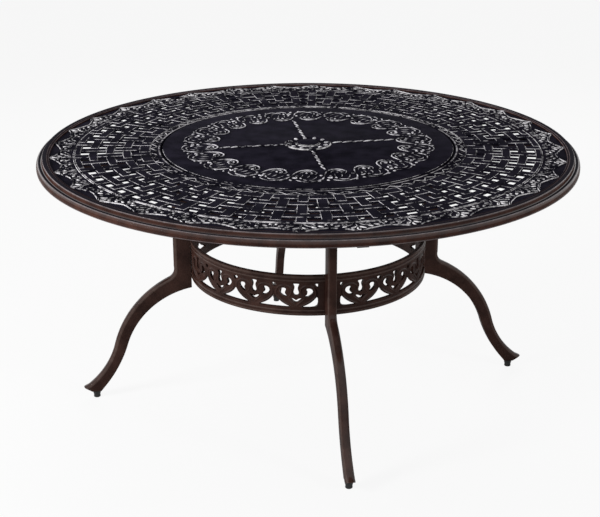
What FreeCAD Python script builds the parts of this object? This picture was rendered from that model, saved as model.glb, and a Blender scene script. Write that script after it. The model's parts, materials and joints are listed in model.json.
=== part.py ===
"""Round cast patio table with a sunk turntable and an umbrella hole.

The origin is on the floor under the centre, +Z is up, and a leg stands on each of the X and Y axes.
Every length is in millimetres and every angle in degrees.
"""
import FreeCAD, Part
import os
from math import cos, degrees, radians, sin

# Overall sizes
rim_radius = 750.0
rim_height = 735.0
leg_count = 4

# Rim moulding
rim_lip_width = 36.0
rim_lip_drop = 2.0
rim_crest_inset = 19.0
rim_cove_inset = 14.0
rim_shoulder_drop = 12.0
rim_skirt_depth = 30.5
rim_skirt_wall = 8.0
rim_ledge_width = 14.0

# Woven lattice of the top, cast in equal segments
segment_count = 8
lattice_drop = 6.0
lattice_thickness = 5.0
ledge_thickness = 6.0
spokes_per_segment = 8
spoke_width = 27.0
weave_radius = 630.0
weave_rows = 4
weave_row_pitch = 46.0
weave_strip_width = 23.0
fans_per_segment = 4
fan_hole_inset = 8.0
fan_hole_length = 18.0
fan_hole_width = 17.0

# Ring round the turntable's well
well_radius = 411.0
well_wall = 8.0
well_ledge_width = 5.0
well_bead_rise = 4.0

# Turntable disc
disc_gap = 6.0
disc_thickness = 5.5
disc_rise = 6.0
rib_length = 190.0
rib_width = 16.0
rib_crest_width = 7.0
rib_rise = 5.0
hub_ring_radius = 66.0
hub_ring_slope = 6.0
hub_ring_rise = 4.0
umbrella_hole_radius = 26.0

# Cap that closes the umbrella hole
cap_radius = 31.0
cap_sides = 24
cap_edge = 1.5
cap_slope_rise = 4.5
cap_slope_run = 16.0
cap_plug_radius = 23.0
cap_plug_sides = 12
cap_plug_length = 12.0

# Bearing under the turntable
bearing_plate_side = 152.0
bearing_plate_thickness = 2.0
bearing_window = 80.0
bearing_cage_radius = 66.0
bearing_cage_width = 9.0
bearing_cage_sides = 16
bearing_running_gap = 0.3

# Arms and hub under the top
arm_width = 28.0
arm_depth = 18.0
arm_inner_radius = 30.0
arm_rim_gap = 0.5
hub_plate_side = 150.0
hub_plate_thickness = 8.0
pole_bore_radius = 23.0
pole_sleeve_wall = 6.0
pole_sleeve_sides = 12
pole_sleeve_drop = 80.0

# Legs, as an S curve in a vertical plane
leg_thickness = 24.0
leg_post_inner = 338.0
leg_post_width = 49.0
knee_height = 329.0
knee_inner_bulge = 37.0
knee_outer_bulge = 29.0
shoulder_height = 392.0
shoulder_reach = 15.0
shoulder_fall = 31.0
shoulder_bulge = 6.0
calf_height = 158.0
calf_inner = 529.5
calf_width = 36.5
ankle_inner_bulge = 6.5
ankle_outer_bulge = 11.0
foot_radius = 624.0
sole_height = 20.0
sole_reach = 13.0
heel_reach = 26.0
heel_rise = 16.0
toe_reach = 36.0
toe_tip_rise = 14.0
toe_top_rise = 21.0
toe_top_reach = 22.0

# Heart scroll apron between the legs
apron_thickness = 10.0
apron_seat_depth = 1.0
apron_bottom = 358.0
apron_bottom_rail = 23.0
apron_opening_height = 68.0
apron_top_rail = 24.0
apron_post_width = 30.0
hearts_per_side = 4
heart_eye_centre = 31.0
heart_eye_height = 42.0
heart_eye_radius = 11.5
heart_eye_sides = 6
heart_vase_width = 18.0
heart_vase_waist = 5.0
heart_vase_height = 36.0
heart_foot_width = 15.0
heart_join_height = 30.0
heart_side_bulge = 4.0
heart_crown_depth = 13.0
heart_crown_width = 12.0

# Levelling feet
foot_pad_radius = 11.0
foot_pad_sides = 12
foot_stem_radius = 5.0
foot_stem_sides = 12
foot_stem_length = 22.0
foot_stem_clearance = 0.1
foot_hole_spare = 3.0

# Levels and radii that follow from the sizes
full_turn = 360.0
lattice_top = rim_height - lattice_drop
lattice_bottom = lattice_top - lattice_thickness
arm_top = lattice_bottom - ledge_thickness
arm_bottom = arm_top - arm_depth
disc_top = lattice_top + disc_rise
disc_bottom = disc_top - disc_thickness
rim_inner = rim_radius - rim_lip_width
rim_skirt_inner = rim_radius - rim_skirt_wall
well_outer = well_radius + well_wall
disc_radius = well_radius - disc_gap
leg_pitch = full_turn / leg_count
leg_post_outer = leg_post_inner + leg_post_width

up = FreeCAD.Vector(0, 0, 1)
middle = FreeCAD.Vector(0, 0, 0)


def turned(shape, angle):
    """A copy of the shape, turned about the table's axis."""
    copy = shape.copy()
    copy.rotate(middle, up, angle)
    return copy


def around(radius, angle, height=0.0):
    """The point at a radius and an angle about the table's axis."""
    return FreeCAD.Vector(radius * cos(radians(angle)), radius * sin(radians(angle)), height)


def closed_wire(points):
    """A wire of straight edges through the points and back to the first."""
    return Part.makePolygon(points + points[:1])


def revolved(profile):
    """The ring or disc swept by a profile of (radius, height) corners."""
    corners = [FreeCAD.Vector(radius, 0, height) for radius, height in profile]
    return Part.Face(closed_wire(corners)).revolve(middle, up, full_turn)


def many_sided(radius, sides, height):
    """A wire with equal sides and its corners on the radius, one of them on the X axis."""
    return closed_wire([around(radius, full_turn * corner / sides, height) for corner in range(sides)])


def many_sided_ring(outer, inner, sides, bottom, top):
    """A ring of flats between two levels."""
    face = Part.Face([many_sided(outer, sides, bottom), many_sided(inner, sides, bottom)])
    face.validate()
    return face.extrude(up * (top - bottom))


def square_plate(side, bottom, thickness):
    """A square plate centred on the table's axis."""
    corner = FreeCAD.Vector(-side / 2, -side / 2, bottom)
    return Part.makeBox(side, side, thickness, corner)


def bowed(start, end, bulge):
    """An arc from start to end whose middle lies to the left of the chord by the bulge."""
    along = end - start
    left = FreeCAD.Vector(-along.z, 0, along.x).normalize()
    crown = (start + end) / 2 + left * bulge
    return Part.Arc(start, crown, end).toShape()


def make_rim():
    """The hoop round the top, with its bead, cove, shoulder, skirt and inner ledge."""
    ledge_inner = rim_inner - rim_ledge_width
    rim_bottom = rim_height - rim_skirt_depth
    shoulder_top = rim_height - rim_shoulder_drop
    return revolved([
        (ledge_inner, arm_top),
        (ledge_inner, lattice_bottom),
        (rim_inner, lattice_bottom),
        (rim_inner, rim_height - rim_lip_drop),
        (rim_radius - rim_crest_inset, rim_height),
        (rim_radius - rim_cove_inset, shoulder_top),
        (rim_radius, shoulder_top),
        (rim_radius, rim_bottom),
        (rim_skirt_inner, rim_bottom),
        (rim_skirt_inner, arm_top),
    ])


def weave_opening(spoke, spoke_pitch, outer, inner):
    """The outline of one opening between a spoke, the next spoke and two strips."""
    corners = []
    for number, side, radii in ((spoke, 1, (inner, outer)), (spoke + 1, -1, (outer, inner))):
        angle = number * spoke_pitch
        shift = around(side * spoke_width / 2, angle + 90, lattice_bottom)
        corners += [around(radius, angle) + shift for radius in radii]
    return closed_wire(corners)


def fan_opening(fan, fan_pitch):
    """The outline of the pierced leaf point under one fan's tip."""
    angle = (fan + 0.5) * fan_pitch
    tip = rim_inner - fan_hole_inset
    shift = around(fan_hole_width / 2, angle + 90)
    base = around(tip - fan_hole_length, angle, lattice_bottom)
    return closed_wire([base - shift, around(tip, angle, lattice_bottom), base + shift])


def make_lattice_segment():
    """One cast segment of the top, from the angle 0 on, with its rows of woven openings."""
    sweep = full_turn / segment_count
    spoke_pitch = sweep / spokes_per_segment
    fan_pitch = sweep / fans_per_segment
    seams = range(spokes_per_segment + 1)
    outline = [around(rim_inner, spoke_pitch * seam, lattice_bottom) for seam in seams]
    outline += [around(well_outer, spoke_pitch * seam, lattice_bottom) for seam in reversed(seams)]
    openings = [fan_opening(fan, fan_pitch) for fan in range(fans_per_segment)]
    for row in range(weave_rows):
        outer = weave_radius - row * weave_row_pitch
        inner = outer - (weave_row_pitch - weave_strip_width)
        for spoke in range(spokes_per_segment):
            openings.append(weave_opening(spoke, spoke_pitch, outer, inner))
    face = Part.Face([closed_wire(outline)] + openings)
    face.validate()
    return turned(face.extrude(up * lattice_thickness), -fan_pitch / 2)


def make_well_ring():
    """The raised ring round the turntable's well, with the ledge that carries the segments.

    It has a flat for each spoke, as the segments have.
    """
    spoke_count = segment_count * spokes_per_segment
    ledge_outer = well_outer + well_ledge_width
    bead_top = lattice_top + well_bead_rise
    ledge = many_sided_ring(ledge_outer, well_radius, spoke_count, arm_top, lattice_bottom)
    bead = many_sided_ring(well_outer, well_radius, spoke_count, lattice_bottom, bead_top)
    return ledge.fuse(bead).removeSplitter()


def make_arm():
    """One arm under the top, along +X, from the pole's passage to the rim's skirt."""
    length = rim_skirt_inner - arm_rim_gap - arm_inner_radius
    corner = FreeCAD.Vector(arm_inner_radius, -arm_width / 2, arm_bottom)
    return Part.makeBox(length, arm_width, arm_depth, corner)


def make_hub_plate():
    """The plate that joins the arms from below, with the hole for the umbrella's pole."""
    bottom = arm_bottom - hub_plate_thickness
    blank = square_plate(hub_plate_side, bottom, hub_plate_thickness)
    return blank.cut(Part.makeCylinder(pole_bore_radius, hub_plate_thickness, up * bottom))


def make_pole_sleeve():
    """The sleeve under the hub plate that guides the umbrella's pole."""
    bottom = arm_bottom - hub_plate_thickness - pole_sleeve_drop
    blank = Part.Face(many_sided(pole_bore_radius + pole_sleeve_wall, pole_sleeve_sides, bottom))
    bore = Part.makeCylinder(pole_bore_radius, pole_sleeve_drop, up * bottom)
    return blank.extrude(up * pole_sleeve_drop).cut(bore)


def make_bearing_plate(bottom):
    """A square bearing plate with its window."""
    blank = square_plate(bearing_plate_side, bottom, bearing_plate_thickness)
    return blank.cut(square_plate(bearing_window, bottom, bearing_plate_thickness))


def make_bearing_cage():
    """The ring that holds the balls between the bearing's plates, in short flats."""
    top = disc_bottom - bearing_plate_thickness - bearing_running_gap
    outer = bearing_cage_radius + bearing_cage_width / 2
    inner = bearing_cage_radius - bearing_cage_width / 2
    return many_sided_ring(outer, inner, bearing_cage_sides, arm_top + bearing_plate_thickness, top)


def make_disc_rib():
    """One raised rib of the disc, along +X, from the ring at its middle."""
    start = hub_ring_radius - hub_ring_slope
    section = [
        FreeCAD.Vector(start, -rib_width / 2, disc_top),
        FreeCAD.Vector(start, -rib_crest_width / 2, disc_top + rib_rise),
        FreeCAD.Vector(start, rib_crest_width / 2, disc_top + rib_rise),
        FreeCAD.Vector(start, rib_width / 2, disc_top),
    ]
    length = hub_ring_radius + rib_length - start
    return Part.Face(closed_wire(section)).extrude(FreeCAD.Vector(length, 0, 0))


def make_disc():
    """The turntable's disc, with its middle ring, umbrella hole and four ribs."""
    ring_top = disc_top + hub_ring_rise
    disc = revolved([
        (umbrella_hole_radius, disc_bottom),
        (disc_radius, disc_bottom),
        (disc_radius, disc_top),
        (hub_ring_radius, disc_top),
        (hub_ring_radius - hub_ring_slope, ring_top),
        (umbrella_hole_radius, ring_top),
    ])
    rib = make_disc_rib()
    return disc.fuse([turned(rib, leg_pitch * number) for number in range(leg_count)])


def make_cap():
    """The low cap that closes the umbrella hole, resting on the disc's middle ring."""
    seat = disc_top + hub_ring_rise
    crown = seat + cap_edge + cap_slope_rise
    blank = Part.Face(many_sided(cap_radius, cap_sides, seat)).extrude(up * (crown - seat))
    rim_edges = [edge for edge in blank.Edges if edge.BoundBox.ZMin > seat + cap_edge]
    dome = blank.makeChamfer(cap_slope_rise, cap_slope_run, rim_edges)
    plug = Part.Face(many_sided(cap_plug_radius, cap_plug_sides, seat - cap_plug_length))
    return dome.fuse(plug.extrude(up * cap_plug_length))


def leg_outline():
    """The leg's outline in the XZ plane: a straight post, a knee, a calf and a turned-out toe."""
    def corner(radius, height):
        return FreeCAD.Vector(radius, 0, height)

    top_inner = corner(leg_post_inner, arm_bottom)
    top_outer = corner(leg_post_outer, arm_bottom)
    knee = corner(leg_post_inner, knee_height)
    calf_in = corner(calf_inner, calf_height)
    calf_out = corner(calf_inner + calf_width, calf_height)
    heel = corner(foot_radius - heel_reach, sole_height + heel_rise)
    sole_in = corner(foot_radius - sole_reach, sole_height)
    sole_out = corner(foot_radius + sole_reach, sole_height)
    toe_tip = corner(foot_radius + toe_reach, sole_height + toe_tip_rise)
    toe_top = corner(foot_radius + toe_top_reach, sole_height + toe_top_rise)
    shoulder_low = corner(leg_post_outer + shoulder_reach, shoulder_height - shoulder_fall)
    shoulder_high = corner(leg_post_outer, shoulder_height)
    return Part.Wire([
        Part.makeLine(top_inner, knee),
        bowed(knee, calf_in, knee_inner_bulge),
        bowed(calf_in, heel, -ankle_inner_bulge),
        Part.makeLine(heel, sole_in),
        Part.makeLine(sole_in, sole_out),
        Part.makeLine(sole_out, toe_tip),
        Part.makeLine(toe_tip, toe_top),
        bowed(toe_top, calf_out, ankle_outer_bulge),
        bowed(calf_out, shoulder_low, -knee_outer_bulge),
        bowed(shoulder_low, shoulder_high, shoulder_bulge),
        Part.makeLine(shoulder_high, top_outer),
        Part.makeLine(top_outer, top_inner),
    ])


def make_leg():
    """One leg, in the XZ plane on the +X side."""
    side = Part.Face(leg_outline())
    side.translate(FreeCAD.Vector(0, -leg_thickness / 2, 0))
    leg = side.extrude(FreeCAD.Vector(0, leg_thickness, 0))
    hole = Part.Face(many_sided(foot_stem_radius + foot_stem_clearance, foot_stem_sides, sole_height))
    hole.translate(FreeCAD.Vector(foot_radius, 0, 0))
    return leg.cut(hole.extrude(up * (foot_stem_length + foot_hole_spare)))


def radial_cutter(outline, angle, inner, outer):
    """A prism along the radius at an angle, with an outline of (across, height) corners."""
    corners = [FreeCAD.Vector(inner, across, height) for across, height in outline]
    prism = Part.Face(closed_wire(corners)).extrude(FreeCAD.Vector(outer - inner, 0, 0))
    return turned(prism, angle)


def heart_outlines(base):
    """The openings inside one heart: two eyes in its lobes and the vase between them."""
    outlines = []
    eye = base + heart_eye_height
    for side in (-1, 1):
        turns = [radians(full_turn * corner / heart_eye_sides) for corner in range(heart_eye_sides)]
        outlines.append([
            (side * heart_eye_centre + heart_eye_radius * cos(turn), eye + heart_eye_radius * sin(turn))
            for turn in turns
        ])
    top = base + apron_opening_height
    half = heart_vase_width / 2
    waist = heart_vase_waist / 2
    outlines.append([
        (-half, top),
        (-waist, top - heart_vase_height / 2),
        (0, top - heart_vase_height),
        (waist, top - heart_vase_height / 2),
        (half, top),
    ])
    return outlines


def joint_outlines(base, reach, left, right):
    """The openings at one end of a heart: a spandrel at its foot and a small one at its crown.

    left and right are 1 where a heart stands on that side of the joint and 0 where a post does.
    """
    top = base + apron_opening_height
    join = base + heart_join_height
    bend = base + heart_join_height / 2 - heart_side_bulge
    bend_reach = reach / 2 - heart_side_bulge
    foot = [(-left * reach, base), (-left * bend_reach, bend), (0, join)]
    foot += [(right * bend_reach, bend), (right * reach, base)]
    crown = [(-left * heart_crown_width, top), (0, top - heart_crown_depth), (right * heart_crown_width, top)]
    return [foot, crown]


def make_apron_segment():
    """One quarter of the apron, between the legs on +X and on +Y.

    The band goes round in short flats, two to each heart and one to each end post.
    """
    outer = leg_post_inner + apron_seat_depth
    inner = outer - apron_thickness
    height = apron_bottom_rail + apron_opening_height + apron_top_rail
    base = apron_bottom + apron_bottom_rail
    post_sweep = degrees(apron_post_width / outer)
    heart_sweep = (leg_pitch - 2 * post_sweep) / hearts_per_side
    bends = [post_sweep + heart_sweep * half / 2 for half in range(2 * hearts_per_side + 1)]
    bends = [0] + bends + [leg_pitch]
    outline = [around(outer, bend, apron_bottom) for bend in bends]
    outline += [around(inner, bend, apron_bottom) for bend in reversed(bends)]
    band = Part.Face(closed_wire(outline)).extrude(up * height)

    seat_corner = FreeCAD.Vector(leg_post_inner, -leg_thickness / 2, apron_bottom)
    seat = Part.makeBox(apron_thickness, leg_thickness, height, seat_corner)
    cutters = [seat, turned(seat, leg_pitch)]
    cutter_inner = inner - apron_thickness
    cutter_outer = outer + apron_thickness
    reach = outer * sin(radians(heart_sweep / 2)) - heart_foot_width
    for heart in range(hearts_per_side):
        angle = post_sweep + (heart + 0.5) * heart_sweep
        for outline in heart_outlines(base):
            cutters.append(radial_cutter(outline, angle, cutter_inner, cutter_outer))
    for joint in range(hearts_per_side + 1):
        angle = post_sweep + joint * heart_sweep
        for outline in joint_outlines(base, reach, joint > 0, joint < hearts_per_side):
            cutters.append(radial_cutter(outline, angle, cutter_inner, cutter_outer))
    return band.cut(cutters)


def make_levelling_foot():
    """One screw glide on the +X side, turned fully in, so that its pad meets the sole."""
    pad = Part.Face(many_sided(foot_pad_radius, foot_pad_sides, 0)).extrude(up * sole_height)
    stem = Part.Face(many_sided(foot_stem_radius, foot_stem_sides, sole_height))
    foot = pad.fuse(stem.extrude(up * foot_stem_length))
    foot.translate(FreeCAD.Vector(foot_radius, 0, 0))
    return foot


def save(name, shape):
    """Write one piece, or one set of like pieces, to its own STEP file."""
    shape.exportStep(os.path.join("parts", name + ".step"))
    print(name, "solids", len(shape.Solids), "valid", shape.isValid())


def main():
    """Make every piece and write it."""
    os.makedirs("parts", exist_ok=True)
    save("table_rim", make_rim())
    segment = make_lattice_segment()
    for number in range(segment_count):
        save(f"lattice_segment_{number + 1}", turned(segment, number * full_turn / segment_count))
    save("well_ring", make_well_ring())
    save("hub_plate", make_hub_plate())
    save("pole_sleeve", make_pole_sleeve())
    arm = make_arm()
    leg = make_leg()
    apron = make_apron_segment()
    foot = make_levelling_foot()
    for number in range(leg_count):
        angle = number * leg_pitch
        save(f"support_arm_{number + 1}", turned(arm, angle))
        save(f"leg_{number + 1}", turned(leg, angle))
        save(f"apron_segment_{number + 1}", turned(apron, angle))
        save(f"levelling_foot_{number + 1}", turned(foot, angle))
    save("bearing_base_plate", make_bearing_plate(arm_top))
    save("bearing_ball_cage", make_bearing_cage())
    save("bearing_top_plate", turned(make_bearing_plate(disc_bottom - bearing_plate_thickness), leg_pitch / 2))
    save("turntable_disc", make_disc())
    save("umbrella_hole_cap", make_cap())


main()
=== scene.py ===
"""Looks of a round cast patio table with a woven top, a sunk turntable and a heart-scroll apron.

The scene is in metres and in the frame of the model: the origin is on the floor under the centre,
+Z is up, and a leg stands on each of the X and Y axes.
"""
from __future__ import annotations

import json
import logging
import math
from contextlib import contextmanager
from dataclasses import dataclass
from enum import Enum
from typing import Callable, Iterable, Iterator, Sequence

import bmesh
import bpy
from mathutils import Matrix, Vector

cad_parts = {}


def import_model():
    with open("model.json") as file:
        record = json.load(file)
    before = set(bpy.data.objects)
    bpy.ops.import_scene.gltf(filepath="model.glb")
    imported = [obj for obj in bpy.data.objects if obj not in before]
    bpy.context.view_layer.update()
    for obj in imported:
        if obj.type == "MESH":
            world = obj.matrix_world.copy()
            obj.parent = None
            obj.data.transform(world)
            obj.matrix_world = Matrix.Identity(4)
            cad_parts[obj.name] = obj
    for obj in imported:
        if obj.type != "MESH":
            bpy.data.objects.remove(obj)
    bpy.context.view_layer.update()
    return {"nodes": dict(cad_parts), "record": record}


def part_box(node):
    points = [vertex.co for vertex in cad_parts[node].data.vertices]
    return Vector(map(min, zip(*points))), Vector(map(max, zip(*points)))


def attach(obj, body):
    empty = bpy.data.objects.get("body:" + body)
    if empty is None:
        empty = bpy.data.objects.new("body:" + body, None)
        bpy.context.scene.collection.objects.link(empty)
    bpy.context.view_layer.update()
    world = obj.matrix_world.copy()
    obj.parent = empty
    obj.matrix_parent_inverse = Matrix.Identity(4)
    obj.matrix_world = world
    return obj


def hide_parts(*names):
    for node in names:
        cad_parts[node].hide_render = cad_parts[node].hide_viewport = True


MM = 0.001
FULL_TURN = 2 * math.pi
QUARTER_TURN = math.pi / 2
MERGE = 0.01 * MM
ROUGHNESS_SPREAD = 0.25
LOG = logging.getLogger("umbrella_table")
Point = tuple[float, float]
Place = tuple[float, float, float]
Colour = tuple[float, float, float]
Piece = bpy.types.Object


class Body(str, Enum):
    """The moving bodies of the model."""

    TABLE = "table"
    TURNTABLE = "lazy_susan"
    CAP = "hole_cap"
    FOOT_1 = "foot_1"
    FOOT_2 = "foot_2"
    FOOT_3 = "foot_3"
    FOOT_4 = "foot_4"


class Slot(str, Enum):
    """The record's material slots."""

    FRAME = "frame_finish"
    TOP = "top_finish"
    STEEL = "bearing_steel"
    CAGE = "bearing_plastic"
    GLIDE = "glide_plastic"


class Kind(Enum):
    """The parts of a mesh that can be picked, by the name of their list."""

    EDGE = "edges"
    FACE = "faces"


class Value:
    """One number that varies over a surface, with Python's operators for its sums."""

    def __init__(self, tree: bpy.types.NodeTree, socket: bpy.types.NodeSocket) -> None:
        """Keep the node tree and the socket that gives the number."""
        self.tree = tree
        self.socket = socket

    def combine(self, operation: str, first: float | Value, second: float | Value) -> Value:
        """Add one Math node.

        Args:
            operation: the Math node's operation.
            first: its first number.
            second: its second number.

        Returns:
            The node's result.
        """
        node = self.tree.nodes.new("ShaderNodeMath")
        node.operation = operation
        for socket, number in zip(node.inputs, (first, second)):
            if isinstance(number, Value):
                self.tree.links.new(number.socket, socket)
            else:
                socket.default_value = number
        return Value(self.tree, node.outputs[0])

    def __add__(self, other: float | Value) -> Value:
        """This number plus another."""
        return self.combine("ADD", self, other)

    __radd__ = __add__

    def __sub__(self, other: float | Value) -> Value:
        """This number less another."""
        return self.combine("SUBTRACT", self, other)

    def __rsub__(self, other: float) -> Value:
        """Another number less this one."""
        return self.combine("SUBTRACT", other, self)

    def __mul__(self, other: float | Value) -> Value:
        """This number times another."""
        return self.combine("MULTIPLY", self, other)

    __rmul__ = __mul__

    def between(self, low: float, high: float) -> Value:
        """How far the number lies from low to high, held between 0 and 1.

        Args:
            low: the number that gives 0.
            high: the number that gives 1.

        Returns:
            The share.
        """
        node = self.tree.nodes.new("ShaderNodeMapRange")
        node.clamp = True
        self.tree.links.new(self.socket, node.inputs["Value"])
        node.inputs["From Min"].default_value = low
        node.inputs["From Max"].default_value = high
        return Value(self.tree, node.outputs[0])


class Paint:
    """Builds one material from nodes."""

    def __init__(self, name: str) -> None:
        """Start an empty material with a shader and an output.

        Args:
            name: the material's name.
        """
        self.material = bpy.data.materials.new(name)
        self.material.use_nodes = True
        self.tree = self.material.node_tree
        self.tree.nodes.clear()
        self.shader = self.tree.nodes.new("ShaderNodeBsdfPrincipled")
        output = self.tree.nodes.new("ShaderNodeOutputMaterial")
        self.tree.links.new(self.shader.outputs[0], output.inputs["Surface"])
        self.place = self.add("ShaderNodeTexCoord").outputs["Object"]

    def add(self, kind: str, settings: dict | None = None, inputs: dict | None = None) -> bpy.types.Node:
        """Add one node.

        Args:
            kind: the node's type name.
            settings: the node's own properties, set first.
            inputs: values or links for its sockets, by name.

        Returns:
            The node.
        """
        node = self.tree.nodes.new(kind)
        for name, value in (settings or {}).items():
            setattr(node, name, value)
        for name, value in (inputs or {}).items():
            self.feed(node.inputs[name], value)
        return node

    def feed(self, socket: bpy.types.NodeSocket, value: object) -> None:
        """Give a socket a link or a plain value.

        Args:
            socket: the socket that is fed.
            value: a number, a colour, a Value or another node's socket.
        """
        if isinstance(value, Value):
            self.tree.links.new(value.socket, socket)
        elif isinstance(value, bpy.types.NodeSocket):
            self.tree.links.new(value, socket)
        else:
            socket.default_value = value

    def noise(self, size: float, detail: float) -> Value:
        """Cloudy noise.

        Args:
            size: the width of its spots in metres.
            detail: how many finer layers it has.

        Returns:
            The noise, about 0.5 on the whole.
        """
        inputs = {"Vector": self.place, "Scale": 1 / size, "Detail": detail}
        return Value(self.tree, self.add("ShaderNodeTexNoise", inputs=inputs).outputs[0])

    def upward(self, vector: bpy.types.NodeSocket) -> Value:
        """How far a vector reaches along Z."""
        split = self.add("ShaderNodeSeparateXYZ", inputs={"Vector": vector})
        return Value(self.tree, split.outputs["Z"])

    def facing_up(self) -> Value:
        """How level the surface is: 1 on a level top, 0 on a wall."""
        return self.upward(self.add("ShaderNodeNewGeometry").outputs["Normal"])

    def mark(self, name: str) -> Value:
        """A mark that the piece's own faces carry, from 0 to 1."""
        return Value(self.tree, self.add("ShaderNodeAttribute", {"attribute_name": name}).outputs["Fac"])

    def height(self) -> Value:
        """How high the surface is above the floor, in metres."""
        return self.upward(self.place)

    def radius(self) -> Value:
        """How far the surface is from the table's axis.

        Returns:
            The distance in metres.
        """
        flat = self.add("ShaderNodeVectorMath", {"operation": "MULTIPLY"}, {0: self.place, 1: (1, 1, 0)})
        length = self.add("ShaderNodeVectorMath", {"operation": "LENGTH"}, {0: flat.outputs[0]})
        return Value(self.tree, length.outputs["Value"])

    def blend(self, mask: Value, low: Sequence[float], high: Sequence[float]) -> bpy.types.NodeSocket:
        """A colour between two others.

        Args:
            mask: 0 for the low colour and 1 for the high one.
            low: red, green and blue, or a socket.
            high: red, green and blue, or a socket.

        Returns:
            The colour's socket.
        """
        node = self.add("ShaderNodeMix", {"data_type": "RGBA"})
        self.feed(node.inputs[0], mask)
        for socket, colour in ((node.inputs[6], low), (node.inputs[7], high)):
            self.feed(socket, colour if isinstance(colour, bpy.types.NodeSocket) else (*colour, 1.0))
        return node.outputs[2]

    def bump(self, height: Value, depth: float, strength: float) -> None:
        """Raise the surface by a height pattern that is depth metres deep."""
        node = self.add("ShaderNodeBump", inputs={"Height": height, "Distance": depth, "Strength": strength})
        self.tree.links.new(node.outputs[0], self.shader.inputs["Normal"])

    def set(self, **values: object) -> None:
        """Feed the shader's own sockets, with _ for a space in a name."""
        for name, value in values.items():
            self.feed(self.shader.inputs[name.replace("_", " ")], value)


@dataclass(frozen=True)
class CastFinish:
    """Dark powder coat on cast metal, with a lighter colour painted where it is marked, on its slopes or on
    its relief: partly abrasion of the coat and partly painted highlight.

    Fields:
        name: the material's name.
        dark: the coat's colour in its darker clouds.
        body: its colour in its lighter clouds.
        edge: its lighter colour on marked faces, slopes or crests, partly for abrasion and partly a painted
            highlight.
        level: the coat's colour on level faces, where it differs there.
        slopes: how far from level the slopes with the painted highlight begin and end, each 0 on a level
            face and 1 on a wall.
        crest: the heights between which relief begins to take the painted highlight.
        patches: the cloudiness between which the painted highlight and abrasion go from none to full.
        gloss: the strength of its reflections.
        roughness: how dull it is on the whole.
        coat: the strength of its clear coat.
        coat_from: the distance from the table's axis beyond which it has that clear coat.
        coat_edge: the distance over which the clear coat sets in beyond that.
        coat_rise: how far from level the clear coat sets in.
        coat_fall: how far from level it fades.
        coat_loss: the share of it that fades there.
        coat_roughness: how dull the clear coat is.
        sizes: the widths of the coat's clouds, of the noise that breaks up its painted highlight and
            abrasion, and of its speckles.
        clouds: the cloudiness between which the coat goes from its darker to its lighter colour.
        slope_fades: how much tilt it takes for the slopes with the painted highlight to set in and to end.
        level_fade: how far from level the colour of level faces begins and ends to give way.
        grain: the depth of the coat's grain in metres, and its strength.
    """

    name: str
    dark: Colour
    body: Colour
    edge: Colour
    level: Colour | None = None
    slopes: Point | None = None
    crest: Point | None = None
    patches: Point = (0.43, 0.56)
    gloss: float = 0.001
    roughness: float = 0.5
    coat: float = 0.0
    coat_from: float = 0.0
    coat_edge: float = 2 * MM
    coat_rise: Point = (0.01, 0.12)
    coat_fall: Point = (0.4, 0.95)
    coat_loss: float = 0.75
    coat_roughness: float = 0.15
    sizes: Place = (45 * MM, 11 * MM, 2.2 * MM)
    clouds: Point = (0.38, 0.62)
    slope_fades: Point = (0.06, 0.15)
    level_fade: Point = (0.02, 0.25)
    grain: Point = (0.3 * MM, 0.4)

    def make(self) -> bpy.types.Material:
        """Build the material.

        Returns:
            The material.
        """
        paint = Paint(self.name)
        cloud_size, abrasion_highlight_size, speckle_size = self.sizes
        mottle = paint.noise(cloud_size, 5)
        speckle = paint.noise(speckle_size, 3)
        abrasion_highlight_noise = paint.noise(abrasion_highlight_size, 3)
        tilt = 1 - paint.facing_up()
        # high is where the lighter colour goes: a painted highlight on crests, slopes or marked faces,
        # partly standing for abrasion.
        high = paint.height().between(*self.crest) if self.crest else 1.0
        if self.slopes:
            (first, last), (fade_in, fade_out) = self.slopes, self.slope_fades
            high = tilt.between(first, first + fade_in) * (1 - tilt.between(last, last + fade_out)) * high
        elif not self.crest:
            high = paint.mark("rub")
        # Painted highlight and abrasion, broken up by noise.
        abrasion_highlight_mask = high * (abrasion_highlight_noise * 0.5 + mottle * 0.5).between(*self.patches)
        clouds = (mottle * 0.6 + speckle * 0.4).between(*self.clouds)
        coat = paint.blend(clouds, self.dark, self.body)
        if self.level:
            coat = paint.blend(tilt.between(*self.level_fade), self.level, coat)
        steep = tilt.between(*self.coat_fall)
        lacquer = tilt.between(*self.coat_rise) * (1 - steep * self.coat_loss) * self.coat
        if self.coat_from:
            lacquer = lacquer * paint.radius().between(self.coat_from, self.coat_from + self.coat_edge)
        # Base colour: the lighter colour is painted as a highlight where that mask is high.
        paint.set(
            Base_Color=paint.blend(abrasion_highlight_mask, coat, self.edge),
            Roughness=self.roughness + (speckle - 0.5) * ROUGHNESS_SPREAD,
            Specular_IOR_Level=self.gloss,
            Coat_Weight=lacquer,
            Coat_Roughness=self.coat_roughness,
        )
        paint.bump(speckle * 0.7 + abrasion_highlight_noise * 0.3, *self.grain)
        return paint.material


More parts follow.
